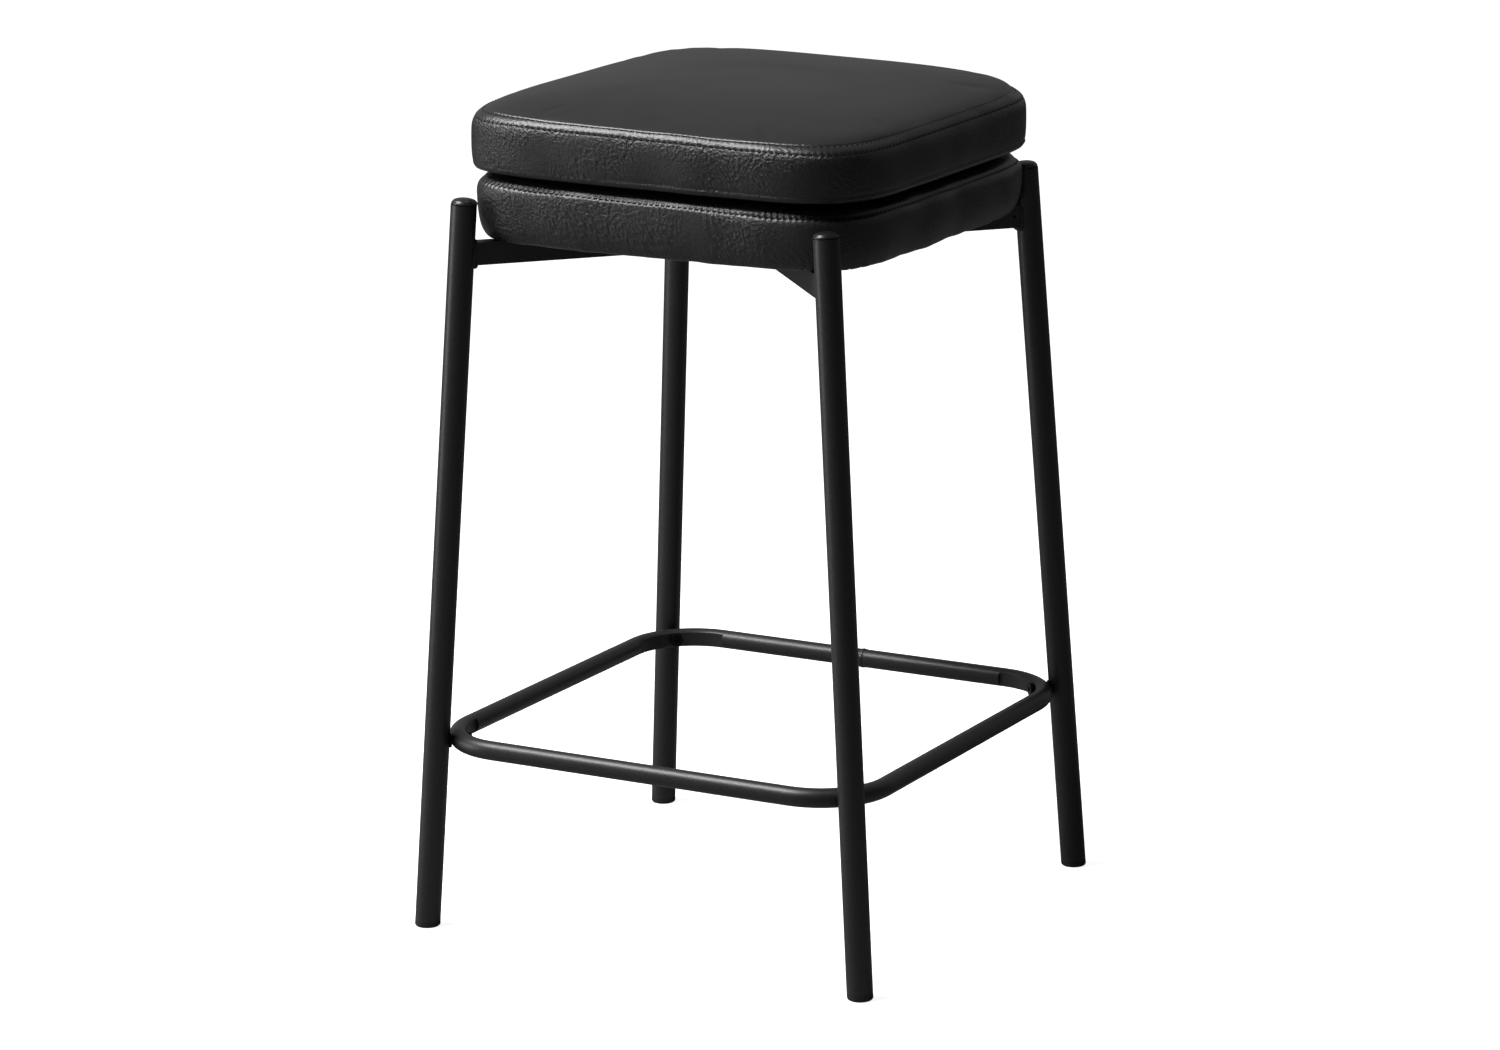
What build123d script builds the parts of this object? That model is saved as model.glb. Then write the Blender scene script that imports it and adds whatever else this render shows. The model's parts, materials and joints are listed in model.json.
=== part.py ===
from build123d import *
from math import atan2, cos, sin, sqrt
import os

# Counter-height bar stool: four splayed round legs, a welded cross of two rectangular
# bars under the seat, a bent tube footrest bolted inside the legs, and two stacked
# upholstered pads.  Millimetres, +Z up, origin on the floor under the seat's centre.
# The front of the stool faces -Y.

os.makedirs("parts", exist_ok=True)

# ---- driving dimensions -------------------------------------------------------------
# legs: round tube, upright axis position at the floor and at the cap's crown
tube_diameter = 20.0
tube_wall = 1.5
foot_x = 190.5
foot_y = 185.0
head_x = 154.5
head_y = 164.5
head_height = 575.0

# end plugs of the legs
foot_head = 5.0
foot_edge_radius = 2.0
cap_rim = 1.6
cap_dome = 3.6
plug_length = 14.0
plug_clearance = 0.05

# crossbars: rectangular tube standing on its narrow side
bar_top = 541.0
bar_height = 17.5
bar_width = 12.0
bar_wall = 1.5
vent_hole_diameter = 2.2
vent_hole_offset = 14.0

# footrest ring: round tube bent to a square with large corners, pressed flat inside each
# bend by the bending die, and a short way into the sides
ring_height = 149.2
ring_diameter = 15.0
ring_wall = 1.2
ring_half = 183.0
bend_flat = 2.2
flat_run = 3.0

# footrest screws (M6) and the rivet nuts set in the legs
screw_diameter = 6.0
screw_length = 25.0
screw_hole = 6.5
screw_head_diameter = 10.5
screw_head_height = 3.3
screw_socket_flats = 4.0
screw_socket_depth = 2.0
rivet_flange_diameter = 12.0
rivet_flange = 0.8
rivet_body_diameter = 9.0
rivet_body_length = 12.0

# seat fastening: four M6 bolts up through the crossbars into the upper board
bolt_radius_from_centre = 60.0
bolt_diameter = 6.0
bolt_hole = 7.0
bolt_head_flats = 10.0
bolt_head_height = 4.0
washer_diameter = 14.0
washer_thickness = 1.6
sleeve_outer = 10.0
sleeve_inner = 7.0
tee_flange_diameter = 19.0
tee_flange = 1.2
tee_barrel_diameter = 8.0

# pads: half widths over the covers, plan corner radius and heights
lower_half_x = 172.0
lower_half_y = 168.0
lower_bottom = 541.6
lower_top = 590.0
upper_half_x = 174.5
upper_half_y = 170.5
upper_bottom = 594.5
upper_top = 653.5
pad_corner = 64.0
lower_edge_round = 11.0
upper_bottom_round = 8.0
crown_round = 17.5
cover_thickness = 1.2
cover_turn_under = 24.0
foam_clearance = 0.3

# plywood boards in the pads
board_half_x = 156.0
board_half_y = 152.0
board_corner = 58.0
board_thickness = 9.0

# dust cover under the seat, and its staples
dust_cover_inset = 6.0
dust_cover_thickness = 0.6
staple_crown = 10.0
staple_wire = 0.7
staple_leg = 6.0
staple_pitch = 23.0
staples_per_side = 10
staple_inset = 7.0

# ---- derived places -----------------------------------------------------------------
corners = {
    "front_left": (-1, -1),
    "front_right": (1, -1),
    "back_right": (1, 1),
    "back_left": (-1, 1),
}
ring_gap = tube_diameter / 2 + ring_diameter / 2 + rivet_flange
bar_middle = bar_top - bar_height / 2
upper_board_top = upper_bottom + cover_thickness + board_thickness
lower_board_top = lower_bottom + cover_thickness + board_thickness


def leg_point(sx, sy, height):
    """Point on a leg's axis at a height above the floor."""
    share = height / head_height
    return Vector(
        sx * (foot_x + (head_x - foot_x) * share),
        sy * (foot_y + (head_y - foot_y) * share),
        height,
    )


def leg_plane(sx, sy):
    """Plane square to a leg's axis where that axis meets the floor."""
    start = leg_point(sx, sy, 0)
    along = (leg_point(sx, sy, head_height) - start).normalized()
    inward = Vector(-sx, -sy, 0)
    return Plane(origin=start, x_dir=inward - along * inward.dot(along), z_dir=along)


leg_length = (leg_point(1, 1, head_height) - leg_point(1, 1, 0)).length
tube_start = foot_head
tube_end = leg_length - cap_rim - cap_dome

# The ring's corner radius makes its corners bear on the rivet flanges: the corner's
# centre lies on the diagonal and stands one radius and one gap from the leg's axis.
ring_leg = leg_point(1, 1, ring_height)
offset_x = ring_leg.X - ring_half
offset_y = ring_leg.Y - ring_half
half_term = ring_gap - offset_x - offset_y
ring_corner = half_term + sqrt(half_term**2 + ring_gap**2 - offset_x**2 - offset_y**2)


def screw_plane(sx, sy):
    """Plane through a ring corner's tube axis, with +Z out towards the leg's axis."""
    centre = Vector(sx * (ring_half - ring_corner), sy * (ring_half - ring_corner), ring_height)
    outward = (leg_point(sx, sy, ring_height) - centre).normalized()
    return Plane(origin=centre + outward * ring_corner, x_dir=(0, 0, 1), z_dir=outward)


def bar_angle(sx, sy):
    """Direction of a crossbar in plan, from the centre to a leg."""
    leg = leg_point(sx, sy, bar_middle)
    return atan2(leg.Y, leg.X)


bolt_places = [
    (bolt_radius_from_centre * cos(bar_angle(*c)), bolt_radius_from_centre * sin(bar_angle(*c)))
    for c in corners.values()
]


def keep(piece, name):
    """Label a finished piece and write it."""
    piece.part.label = name
    export_step(piece.part, f"parts/{name}.step")


# ---- legs with their rivet-nut holes --------------------------------------------------
leg_envelopes = {}
for place, (sx, sy) in corners.items():
    base = leg_plane(sx, sy)
    with BuildPart() as envelope:
        with BuildSketch(base):
            Circle(tube_diameter / 2)
        extrude(amount=leg_length)
    leg_envelopes[place] = envelope.part

    with BuildPart() as leg:
        with BuildSketch(base.offset(tube_start)):
            Circle(tube_diameter / 2)
            Circle(tube_diameter / 2 - tube_wall, mode=Mode.SUBTRACT)
        extrude(amount=tube_end - tube_start)
        with BuildSketch(screw_plane(sx, sy)):
            Circle(rivet_body_diameter / 2)
        extrude(amount=ring_gap, mode=Mode.SUBTRACT)
    keep(leg, f"leg_{place}")

# ---- feet: plugs cut level with the floor ---------------------------------------------
for place, (sx, sy) in corners.items():
    base = leg_plane(sx, sy)
    with BuildPart() as foot:
        with BuildSketch(base.offset(-foot_edge_radius)):
            Circle(tube_diameter / 2)
        extrude(amount=foot_head + foot_edge_radius)
        with BuildSketch(base.offset(foot_head)):
            Circle(tube_diameter / 2 - tube_wall - plug_clearance)
        extrude(amount=plug_length)
        split(bisect_by=Plane.XY, keep=Keep.TOP)
        sole = foot.faces().sort_by(Axis.Z)[0]
        fillet(sole.edges(), foot_edge_radius)
    keep(foot, f"foot_{place}")

# ---- leg caps: a rim and a shallow dome over a plug -----------------------------------
rim_radius = tube_diameter / 2
dome_radius = (rim_radius**2 + cap_dome**2) / (2 * cap_dome)
for place, (sx, sy) in corners.items():
    seat_plane = leg_plane(sx, sy).offset(tube_end)
    with BuildPart() as cap:
        with BuildSketch(seat_plane):
            Circle(rim_radius)
        extrude(amount=cap_rim + cap_dome)
        with Locations(seat_plane.offset(cap_rim + cap_dome - dome_radius)):
            Sphere(dome_radius, mode=Mode.INTERSECT)
        with BuildSketch(seat_plane):
            Circle(rim_radius - tube_wall - plug_clearance)
        extrude(amount=-plug_length)
    keep(cap, f"leg_cap_{place}")


# ---- crossbars -------------------------------------------------------------------------
def bar_plane(angle):
    """Plane through the seat's centre, square to a crossbar that runs along the angle."""
    return Plane(origin=(0, 0, bar_middle), x_dir=(-sin(angle), cos(angle), 0), z_dir=(cos(angle), sin(angle), 0))


def vent_plane(place, angle):
    """Plane on the bar's side wall a little in from a leg, where the bar breathes in the oven."""
    leg = leg_point(*corners[place], bar_middle)
    inward = Vector(-cos(angle), -sin(angle), 0)
    side = Vector(sin(angle), -cos(angle), 0)
    origin = leg + inward * vent_hole_offset + side * (bar_width / 2)
    return Plane(origin=origin, x_dir=inward, z_dir=side)


long_angle = bar_angle(1, 1)
long_reach = (leg_point(1, 1, bar_middle) - Vector(0, 0, bar_middle)).length
with BuildPart() as long_envelope:
    with BuildSketch(bar_plane(long_angle)):
        Rectangle(bar_width, bar_height)
    extrude(amount=long_reach, both=True)

with BuildPart() as crossbar_long:
    with BuildSketch(bar_plane(long_angle)):
        Rectangle(bar_width, bar_height)
        offset(amount=-bar_wall, mode=Mode.SUBTRACT)
    extrude(amount=long_reach, both=True)
    for place in ("front_left", "back_right"):
        add(leg_envelopes[place], mode=Mode.SUBTRACT)
        with BuildSketch(vent_plane(place, bar_angle(*corners[place]))):
            Circle(vent_hole_diameter / 2)
        extrude(amount=-2 * bar_wall, mode=Mode.SUBTRACT)
    with BuildSketch(Plane.XY.offset(bar_top)):
        with Locations(bolt_places[0], bolt_places[2]):
            Circle(bolt_hole / 2)
    extrude(amount=-bar_height, mode=Mode.SUBTRACT)
keep(crossbar_long, "crossbar_long")

for place in ("front_right", "back_left"):
    angle = bar_angle(*corners[place])
    spot = bolt_places[list(corners).index(place)]
    with BuildPart() as half_bar:
        with BuildSketch(bar_plane(angle)):
            Rectangle(bar_width, bar_height)
            offset(amount=-bar_wall, mode=Mode.SUBTRACT)
        extrude(amount=long_reach)
        add(leg_envelopes[place], mode=Mode.SUBTRACT)
        add(long_envelope.part, mode=Mode.SUBTRACT)
        with BuildSketch(vent_plane(place, angle)):
            Circle(vent_hole_diameter / 2)
        extrude(amount=-2 * bar_wall, mode=Mode.SUBTRACT)
        with BuildSketch(Plane.XY.offset(bar_top)):
            with Locations(spot):
                Circle(bolt_hole / 2)
        extrude(amount=-bar_height, mode=Mode.SUBTRACT)
    keep(half_bar, f"crossbar_{place}")

# ---- footrest ring, its screws and rivet nuts ------------------------------------------
def ring_solid(wall):
    """The ring's outer form, or its bore for a wall: round sides, and bends pressed flat inside.

    The pressed section also runs a little way into each side, and the bore's one wall further."""
    radius = ring_diameter / 2 - wall
    flat = radius - bend_flat
    side = ring_half - ring_corner
    with BuildSketch(mode=Mode.PRIVATE) as pressed:
        Circle(radius)
        with Locations((-flat, 0)):
            Rectangle(radius, 2 * radius, align=(Align.MAX, Align.CENTER), mode=Mode.SUBTRACT)
    with BuildPart(mode=Mode.PRIVATE) as solid:
        for turn in range(4):
            heading = Vector(0, 1, 0).rotate(Axis.Z, 90 * turn)
            outward = Vector(1, 0, 0).rotate(Axis.Z, 90 * turn)
            middle = Plane(origin=outward * ring_half + Vector(0, 0, ring_height), x_dir=outward, z_dir=heading)
            with BuildSketch(middle):
                add(pressed.sketch)
            extrude(amount=side, both=True)
            with BuildSketch(middle):
                Circle(radius)
            extrude(amount=side - flat_run - wall, both=True)
            with BuildSketch(middle.offset(side)):
                add(pressed.sketch)
            bend_centre = middle.offset(side).origin - outward * ring_corner
            revolve(axis=Axis(bend_centre, (0, 0, 1)), revolution_arc=90)
    return solid.part


with BuildPart() as footrest_ring:
    add(ring_solid(0))
    add(ring_solid(ring_wall), mode=Mode.SUBTRACT)
    for sx, sy in corners.values():
        with BuildSketch(screw_plane(sx, sy)):
            Circle(screw_hole / 2)
        extrude(amount=ring_diameter, both=True, mode=Mode.SUBTRACT)
keep(footrest_ring, "footrest_ring")

# a flat head bridges the hollow side of the bend, so it stands off by the arc's rise
bend_inside = ring_corner - ring_diameter / 2 + bend_flat
head_standoff = bend_inside - sqrt(bend_inside**2 - (screw_head_diameter / 2) ** 2)
with BuildPart() as footrest_screws:
    for sx, sy in corners.values():
        under_head = screw_plane(sx, sy).offset(bend_flat - ring_diameter / 2 - head_standoff)
        with BuildSketch(under_head):
            Circle(screw_diameter / 2)
        extrude(amount=screw_length)
        with BuildSketch(under_head):
            Circle(screw_head_diameter / 2)
        extrude(amount=-screw_head_height)
        with BuildSketch(under_head.offset(-screw_head_height)):
            RegularPolygon(screw_socket_flats / 2, 6, major_radius=False)
        extrude(amount=screw_socket_depth, mode=Mode.SUBTRACT)
keep(footrest_screws, "footrest_screws")

with BuildPart() as footrest_rivet_nuts:
    for sx, sy in corners.values():
        flange_plane = screw_plane(sx, sy).offset(ring_diameter / 2)
        with BuildSketch(flange_plane):
            Circle(rivet_flange_diameter / 2)
        extrude(amount=2 * rivet_flange)
    for envelope in leg_envelopes.values():
        add(envelope, mode=Mode.SUBTRACT)
    for sx, sy in corners.values():
        flange_plane = screw_plane(sx, sy).offset(ring_diameter / 2)
        with BuildSketch(flange_plane):
            Circle(rivet_body_diameter / 2 - plug_clearance)
        extrude(amount=rivet_body_length)
        with BuildSketch(flange_plane):
            Circle(screw_diameter / 2)
        extrude(amount=rivet_body_length, mode=Mode.SUBTRACT)
keep(footrest_rivet_nuts, "footrest_rivet_nuts")


# ---- pads: outlines shared by covers, foams and boards ---------------------------------
def pad_block(half_x, half_y, corner, bottom, top, bottom_round, top_round):
    """Rounded-square block with rounded lower and upper edges: one pad's outer form."""
    with BuildPart(mode=Mode.PRIVATE) as block:
        with BuildSketch(Plane.XY.offset(bottom)):
            RectangleRounded(2 * half_x, 2 * half_y, corner)
        extrude(amount=top - bottom)
        fillet(block.faces().sort_by(Axis.Z)[-1].edges(), top_round)
        fillet(block.faces().sort_by(Axis.Z)[0].edges(), bottom_round)
    return block.part


def lower_block(inset):
    """The lower pad's form, moved in by an inset all round."""
    return pad_block(
        lower_half_x - inset,
        lower_half_y - inset,
        pad_corner - inset,
        lower_bottom + inset,
        lower_top - inset,
        lower_edge_round - inset,
        lower_edge_round - inset,
    )


def upper_block(inset):
    """The upper pad's form, moved in by an inset all round."""
    return pad_block(
        upper_half_x - inset,
        upper_half_y - inset,
        pad_corner - inset,
        upper_bottom + inset,
        upper_top - inset,
        upper_bottom_round - inset,
        crown_round - inset,
    )


def staple_row(half_x, half_y):
    """Middle and direction of each staple along the four straight sides of a rectangle."""
    first = -staple_pitch * (staples_per_side - 1) / 2
    steps = [first + staple_pitch * i for i in range(staples_per_side)]
    along_x = [(step, side * half_y, 0) for side in (-1, 1) for step in steps]
    along_y = [(side * half_x, step, 90) for side in (-1, 1) for step in steps]
    return along_x + along_y


def staples(half_x, half_y, face, wire_below):
    """Staples driven up into a board from below: a crown and two legs each."""
    with BuildPart(mode=Mode.PRIVATE) as group:
        for x, y, turn in staple_row(half_x, half_y):
            spot = Plane(origin=(x, y, face - wire_below), x_dir=Vector(1, 0, 0).rotate(Axis.Z, turn))
            with BuildSketch(spot):
                Rectangle(staple_crown, staple_wire)
            extrude(amount=staple_wire)
            with BuildSketch(spot):
                with GridLocations(staple_crown - staple_wire, 0, 2, 1):
                    Rectangle(staple_wire, staple_wire)
            extrude(amount=staple_leg)
    return group.part


# ---- staples ---------------------------------------------------------------------------
turn_x = lower_half_x - lower_edge_round - dust_cover_inset
turn_y = lower_half_y - lower_edge_round - dust_cover_inset
dust_bottom = lower_bottom - dust_cover_thickness
lower_staples = staples(turn_x - staple_inset, turn_y - staple_inset, dust_bottom, staple_wire)
upper_staples = staples(turn_x - staple_inset, turn_y - staple_inset, upper_bottom, staple_wire)
with BuildPart() as dust_cover_staples:
    add(lower_staples)
keep(dust_cover_staples, "dust_cover_staples")
with BuildPart() as upper_cover_staples:
    add(upper_staples)
keep(upper_cover_staples, "upper_cover_staples")

# ---- plywood boards --------------------------------------------------------------------
with BuildPart() as lower_board:
    with BuildSketch(Plane.XY.offset(lower_bottom + cover_thickness)):
        RectangleRounded(2 * board_half_x, 2 * board_half_y, board_corner)
        with Locations(*bolt_places):
            Circle(bolt_hole / 2, mode=Mode.SUBTRACT)
    extrude(amount=board_thickness)
    add(lower_staples, mode=Mode.SUBTRACT)
keep(lower_board, "lower_board")

with BuildPart() as upper_board:
    with BuildSketch(Plane.XY.offset(upper_bottom + cover_thickness)):
        RectangleRounded(2 * board_half_x, 2 * board_half_y, board_corner)
        with Locations(*bolt_places):
            Circle(tee_barrel_diameter / 2, mode=Mode.SUBTRACT)
    extrude(amount=board_thickness)
    add(upper_staples, mode=Mode.SUBTRACT)
keep(upper_board, "upper_board")

# ---- bolts, washers, sleeves and tee nuts ----------------------------------------------
bar_bottom = bar_top - bar_height
sleeve_top = upper_bottom + cover_thickness
bolt_end = upper_board_top + tee_flange + 1.5

with BuildPart() as seat_washers:
    with BuildSketch(Plane.XY.offset(bar_bottom)):
        with Locations(*bolt_places):
            Circle(washer_diameter / 2)
            Circle(bolt_diameter / 2 + 0.2, mode=Mode.SUBTRACT)
    extrude(amount=-washer_thickness)
keep(seat_washers, "seat_washers")

with BuildPart() as seat_bolts:
    with BuildSketch(Plane.XY.offset(bar_bottom - washer_thickness)):
        with Locations(*bolt_places):
            RegularPolygon(bolt_head_flats / 2, 6, major_radius=False)
    extrude(amount=-bolt_head_height)
    with BuildSketch(Plane.XY.offset(bar_bottom - washer_thickness)):
        with Locations(*bolt_places):
            Circle(bolt_diameter / 2)
    extrude(amount=bolt_end - bar_bottom + washer_thickness)
keep(seat_bolts, "seat_bolts")

with BuildPart() as spacer_sleeves:
    with BuildSketch(Plane.XY.offset(lower_board_top)):
        with Locations(*bolt_places):
            Circle(sleeve_outer / 2)
            Circle(sleeve_inner / 2, mode=Mode.SUBTRACT)
    extrude(amount=sleeve_top - lower_board_top)
keep(spacer_sleeves, "spacer_sleeves")

with BuildPart() as tee_nuts:
    with BuildSketch(Plane.XY.offset(upper_board_top)):
        with Locations(*bolt_places):
            Circle(tee_flange_diameter / 2)
    extrude(amount=tee_flange)
    with BuildSketch(Plane.XY.offset(upper_board_top)):
        with Locations(*bolt_places):
            Circle(tee_barrel_diameter / 2)
    extrude(amount=-board_thickness)
    with BuildSketch(Plane.XY.offset(sleeve_top)):
        with Locations(*bolt_places):
            Circle(bolt_diameter / 2)
    extrude(amount=board_thickness + tee_flange, mode=Mode.SUBTRACT)
keep(tee_nuts, "tee_nuts")

# ---- lower pad: cover, foam and dust cover ---------------------------------------------
with BuildPart() as lower_cover:
    add(lower_block(0))
    add(lower_block(cover_thickness), mode=Mode.SUBTRACT)
    with BuildSketch(Plane.XY.offset(lower_bottom)):
        opening_x = 2 * (lower_half_x - lower_edge_round - cover_turn_under)
        opening_y = 2 * (lower_half_y - lower_edge_round - cover_turn_under)
        RectangleRounded(opening_x, opening_y, board_corner - cover_turn_under)
    extrude(amount=cover_thickness, mode=Mode.SUBTRACT)
    with BuildSketch(Plane.XY.offset(lower_top)):
        with Locations(*bolt_places):
            Circle(sleeve_outer / 2 + foam_clearance)
    extrude(amount=-2 * cover_thickness, mode=Mode.SUBTRACT)
    add(lower_staples, mode=Mode.SUBTRACT)
keep(lower_cover, "lower_cover")

with BuildPart() as lower_foam:
    add(lower_block(cover_thickness + foam_clearance))
    with BuildSketch(Plane.XY.offset(lower_bottom)):
        RectangleRounded(
            2 * (board_half_x + foam_clearance),
            2 * (board_half_y + foam_clearance),
            board_corner + foam_clearance,
        )
    extrude(amount=lower_board_top - lower_bottom, mode=Mode.SUBTRACT)
    with BuildSketch(Plane.XY.offset(lower_board_top)):
        with Locations(*bolt_places):
            Circle(sleeve_outer / 2 + foam_clearance)
    extrude(amount=lower_top - lower_board_top, mode=Mode.SUBTRACT)
keep(lower_foam, "lower_foam")

with BuildPart() as dust_cover:
    with BuildSketch(Plane.XY.offset(dust_bottom)):
        RectangleRounded(2 * turn_x, 2 * turn_y, board_corner)
        with Locations(*bolt_places):
            Circle(bolt_hole / 2, mode=Mode.SUBTRACT)
    extrude(amount=dust_cover_thickness)
    add(lower_staples, mode=Mode.SUBTRACT)
keep(dust_cover, "dust_cover")

# ---- upper pad: cover and foam ---------------------------------------------------------
with BuildPart() as upper_cover:
    add(upper_block(0))
    add(upper_block(cover_thickness), mode=Mode.SUBTRACT)
    with BuildSketch(Plane.XY.offset(upper_bottom)):
        RectangleRounded(opening_x, opening_y, board_corner - cover_turn_under)
    extrude(amount=cover_thickness, mode=Mode.SUBTRACT)
    add(upper_staples, mode=Mode.SUBTRACT)
keep(upper_cover, "upper_cover")

with BuildPart() as upper_foam:
    add(upper_block(cover_thickness + foam_clearance))
    with BuildSketch(Plane.XY.offset(upper_bottom)):
        RectangleRounded(
            2 * (board_half_x + foam_clearance),
            2 * (board_half_y + foam_clearance),
            board_corner + foam_clearance,
        )
    extrude(amount=upper_board_top - upper_bottom, mode=Mode.SUBTRACT)
    with BuildSketch(Plane.XY.offset(upper_board_top)):
        with Locations(*bolt_places):
            Circle(tee_flange_diameter / 2 + foam_clearance)
    extrude(amount=tee_flange + 2, mode=Mode.SUBTRACT)
keep(upper_foam, "upper_foam")
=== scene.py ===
import json
import math

import bpy
import numpy as np
from mathutils import Matrix, Vector


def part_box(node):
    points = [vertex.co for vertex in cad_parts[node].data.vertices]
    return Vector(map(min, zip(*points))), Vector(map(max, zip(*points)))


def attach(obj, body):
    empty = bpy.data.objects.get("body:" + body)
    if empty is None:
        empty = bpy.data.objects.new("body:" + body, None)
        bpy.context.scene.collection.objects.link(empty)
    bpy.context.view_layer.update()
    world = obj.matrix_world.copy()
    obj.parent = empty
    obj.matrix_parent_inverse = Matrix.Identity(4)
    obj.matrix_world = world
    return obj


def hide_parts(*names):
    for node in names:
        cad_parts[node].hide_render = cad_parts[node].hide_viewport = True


# Counter-height bar stool: a powder-coated tube frame with a bolted footrest ring and two
# stacked leatherette pads.  Metres, +Z up, origin on the floor under the seat's centre.
# The front faces -Y.  The frame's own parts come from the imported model; the pads, their
# sewing, the leg caps and the weld beads are made here.

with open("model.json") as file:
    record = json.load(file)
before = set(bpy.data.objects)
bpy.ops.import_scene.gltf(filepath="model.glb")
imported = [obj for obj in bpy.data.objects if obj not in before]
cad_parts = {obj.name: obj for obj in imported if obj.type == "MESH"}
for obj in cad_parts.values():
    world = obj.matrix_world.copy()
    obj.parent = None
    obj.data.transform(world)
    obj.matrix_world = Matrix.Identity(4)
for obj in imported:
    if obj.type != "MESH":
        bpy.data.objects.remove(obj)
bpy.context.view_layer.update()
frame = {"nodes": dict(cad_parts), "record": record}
nodes = frame["nodes"]
MM = 0.001
WAVES_SUMMED = 40


# ---- mesh making ---------------------------------------------------------------------------
def new_piece(name, points, faces, material, **attributes):
    """Makes a smooth-shaded mesh piece from points, faces and named point attributes."""
    mesh = bpy.data.meshes.new(name)
    mesh.from_pydata(points.tolist(), [], faces)
    mesh.materials.append(material)
    mesh.polygons.foreach_set("use_smooth", np.ones(len(mesh.polygons), bool))
    for label, values in attributes.items():
        layer = mesh.attributes.new(label, "FLOAT", "POINT")
        layer.data.foreach_set("value", values.astype(np.float32).ravel())
    mesh.update()
    piece = bpy.data.objects.new(name, mesh)
    bpy.context.scene.collection.objects.link(piece)
    return piece


def grid_faces(rows, columns, closed_rows=False):
    """Quads between neighbouring rows of a grid, whose columns close on themselves.

    Point (row, column) is number row * columns + column."""
    strips = rows if closed_rows else rows - 1
    row, column = np.meshgrid(np.arange(strips), np.arange(columns), indexing="ij")
    here = row * columns
    above = (row + 1) % rows * columns
    beside = (column + 1) % columns
    quads = np.stack([here + column, here + beside, above + beside, above + column], axis=-1)
    return quads.reshape(-1, 4).tolist()


def end_fan(pole, ring, outward_last):
    """Triangles from a closed ring of points to a pole point, facing out at that end."""
    beside = np.roll(ring, -1)
    edge = [ring, beside] if outward_last else [beside, ring]
    return np.stack(edge + [np.full_like(ring, pole)], axis=-1).tolist()


def closed_grid(rings):
    """Points and faces of a tube of rings, its first and last ring closed to their middles."""
    rows, columns = rings.shape[:2]
    points = np.concatenate([rings.reshape(-1, 3), rings[0].mean(0)[None], rings[-1].mean(0)[None]])
    ring = np.arange(columns)
    faces = grid_faces(rows, columns)
    faces += end_fan(rows * columns, ring, False)
    faces += end_fan(rows * columns + 1, ring + (rows - 1) * columns, True)
    return points, faces


def unit(vectors):
    """Vectors scaled to length 1."""
    return vectors / np.maximum(np.linalg.norm(vectors, axis=-1, keepdims=True), 1e-12)


def smoothstep(low, high, x):
    """0 below low, 1 above high, and a smooth cubic between them."""
    t = np.clip((x - low) / (high - low), 0, 1)
    return t * t * (3 - 2 * t)


def bell(x, width):
    """A bell curve of height 1 and the given width at one deviation."""
    return np.exp(-0.5 * (x / width) ** 2)


def waves(x, y, lengths, heading, spread, seed, lap=None):
    """Smooth noise of deviation 1: a sum of sine waves, with lengths between two limits and
    directions within the spread of the heading, both in degrees.

    Where there is a lap, each wave is stretched along x so that whole crests fit it."""
    draw = np.random.default_rng(seed)
    length = draw.uniform(*lengths, WAVES_SUMMED)
    turn = np.radians(heading + draw.uniform(-spread, spread, WAVES_SUMMED))
    phase = draw.uniform(0, 2 * np.pi, WAVES_SUMMED)
    total = np.zeros(np.broadcast(x, y).shape)
    for wave, angle, start in zip(length, turn, phase):
        crests = np.cos(angle) / wave
        crests = round(crests * lap) / lap if lap else crests
        total += np.sin(2 * np.pi * (x * crests + y * np.sin(angle) / wave) + start)
    return total * math.sqrt(2 / WAVES_SUMMED)


# ---- materials -----------------------------------------------------------------------------
def linear(colour):
    """An sRGB hex colour as linear RGBA."""
    levels = [int(colour[i : i + 2], 16) / 255 for i in (1, 3, 5)]
    rgb = [c / 12.92 if c <= 0.04045 else ((c + 0.055) / 1.055) ** 2.4 for c in levels]
    return (*rgb, 1.0)


def add(tree, kind, inputs=None, **settings):
    """Adds a node, sets its settings, and fills each named input with a value or a link."""
    node = tree.nodes.new(kind)
    for name, value in settings.items():
        setattr(node, name, value)
    for key, value in (inputs or {}).items():
        if isinstance(value, bpy.types.NodeSocket):
            tree.links.new(value, node.inputs[key])
        else:
            node.inputs[key].default_value = value
    return node


def new_material(name, **shader):
    """A material whose Principled shader has these socket values, with its tree and shader."""
    material = bpy.data.materials.new(name)
    material.use_nodes = True
    tree = material.node_tree
    principled = tree.nodes["Principled BSDF"]
    for socket, value in shader.items():
        principled.inputs[socket.replace("_", " ")].default_value = value
    return material, tree, principled


def object_space(tree):
    """Places in the object's own space, in metres."""
    return add(tree, "ShaderNodeTexCoord").outputs["Object"]


def noise(tree, place, size, detail, **inputs):
    """A noise texture whose largest features are this many millimetres across."""
    values = {"Vector": place, "Scale": 1 / (size * MM), "Detail": detail, **inputs}
    return add(tree, "ShaderNodeTexNoise", values).outputs["Fac"]


def math_node(tree, operation, *values):
    """The result of a Math node of this operation on these values or links."""
    return add(tree, "ShaderNodeMath", dict(enumerate(values)), operation=operation).outputs[0]


def remap(tree, value, low, high, to_low, to_high, **settings):
    """A value carried from one range to another, held at both ends."""
    ends = {"From Min": low, "From Max": high, "To Min": to_low, "To Max": to_high}
    return add(tree, "ShaderNodeMapRange", {"Value": value, **ends}, **settings).outputs["Result"]


def bump(tree, height, strength, depth, **inputs):
    """The normal of a bump this many millimetres deep."""
    values = {"Height": height, "Strength": strength, "Distance": depth * MM, **inputs}
    return add(tree, "ShaderNodeBump", values).outputs["Normal"]


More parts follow.
